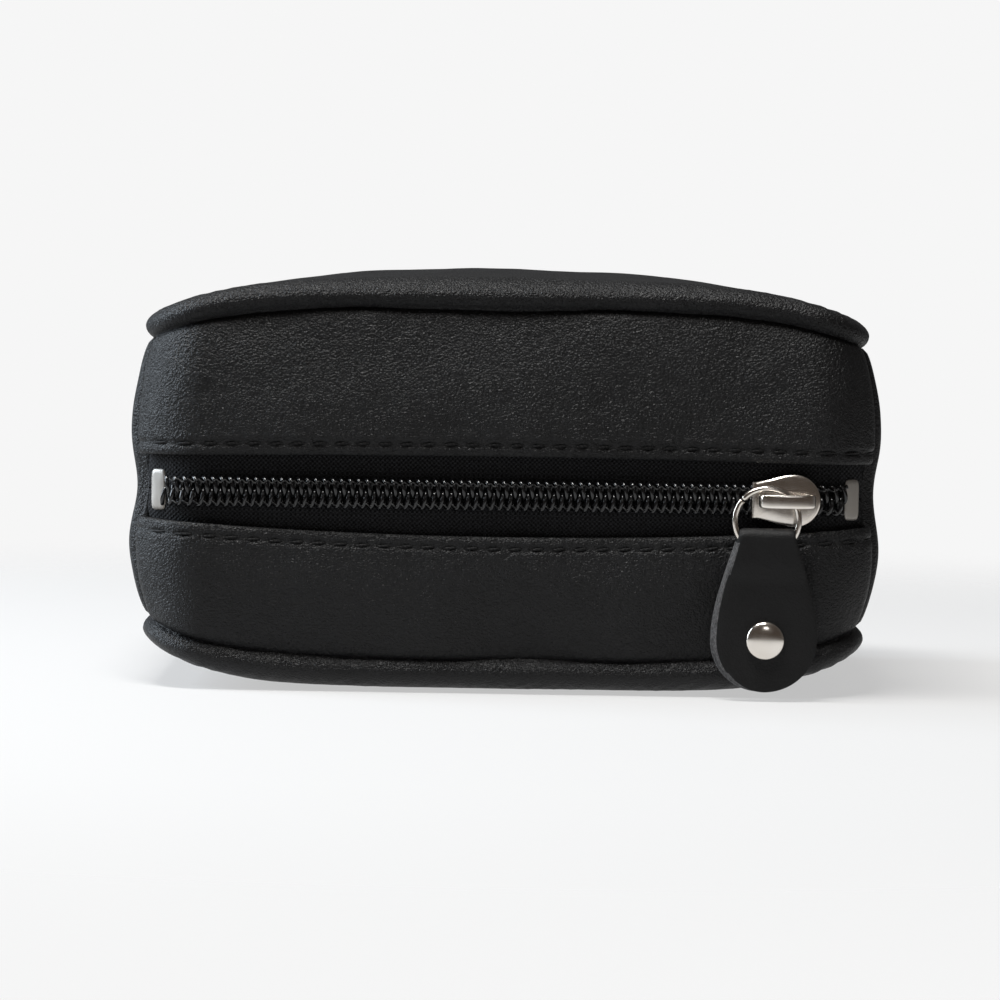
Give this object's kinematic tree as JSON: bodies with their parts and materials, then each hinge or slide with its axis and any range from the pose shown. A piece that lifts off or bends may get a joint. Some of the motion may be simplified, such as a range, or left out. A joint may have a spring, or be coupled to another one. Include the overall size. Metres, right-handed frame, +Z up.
{
  "type": "coin purse",
  "caption": "Small boxed leather zip purse: pillow-edged panels, front coil zip, metal slider, ring and riveted leather pull tab.",
  "frame": {"origin": "middle of the footprint, at the height of the flat patch the purse rests on", "axes": "+X along the zip towards its closed end, -Y out of the zip face, +Z up"},
  "size_m": [0.1192, 0.0777, 0.068],
  "materials": {
    "leather": "fine-grained soft black cowhide, satin",
    "tab_leather": "smooth black leather with raw cut edges",
    "lining": "plain woven polyester lining",
    "tape": "knitted and woven zip tape",
    "coil": "black nylon coil",
    "thread": "bonded black sewing thread",
    "nickel": "bright nickel plate"
  },
  "bodies": {
    "purse": {"top_panel": "leather", "bottom_panel": "leather", "gusset": "leather", "zip_strip_upper": "leather", "zip_strip_lower": "leather", "lining_top": "lining", "lining_bottom": "lining", "lining_gusset": "lining", "lining_front_upper": "lining", "lining_front_lower": "lining", "zip_tape_upper": "tape", "zip_tape_lower": "tape", "zip_coil_upper": "coil", "zip_coil_lower": "coil", "thread_upper": "thread", "thread_lower": "thread", "stop_left": "nickel", "stop_right": "nickel"},
    "slider": {"slider_body": "nickel", "slider_bridge": "nickel"},
    "ring": {"pull_ring": "nickel"},
    "tab": {"pull_tab": "tab_leather", "rivet_cap": "nickel", "rivet_back": "nickel"}
  },
  "joints": [
    {"name": "slider_travel", "type": "slide", "parent": "purse", "child": "slider", "axis": [-1, 0, 0], "range_m": [0, 0.0895]},
    {"name": "ring_lift", "type": "hinge", "parent": "slider", "child": "ring", "pos_m": [0.04585, -0.03645, 0.0318], "axis": [-0.6078, 0, 0.7941], "range_deg": [0, 120]},
    {"name": "tab_turn", "type": "hinge", "parent": "ring", "child": "tab", "pos_m": [0.0418, -0.03645, 0.0287], "axis": [0, 1, 0], "range_deg": [-8, 75]}
  ]
}
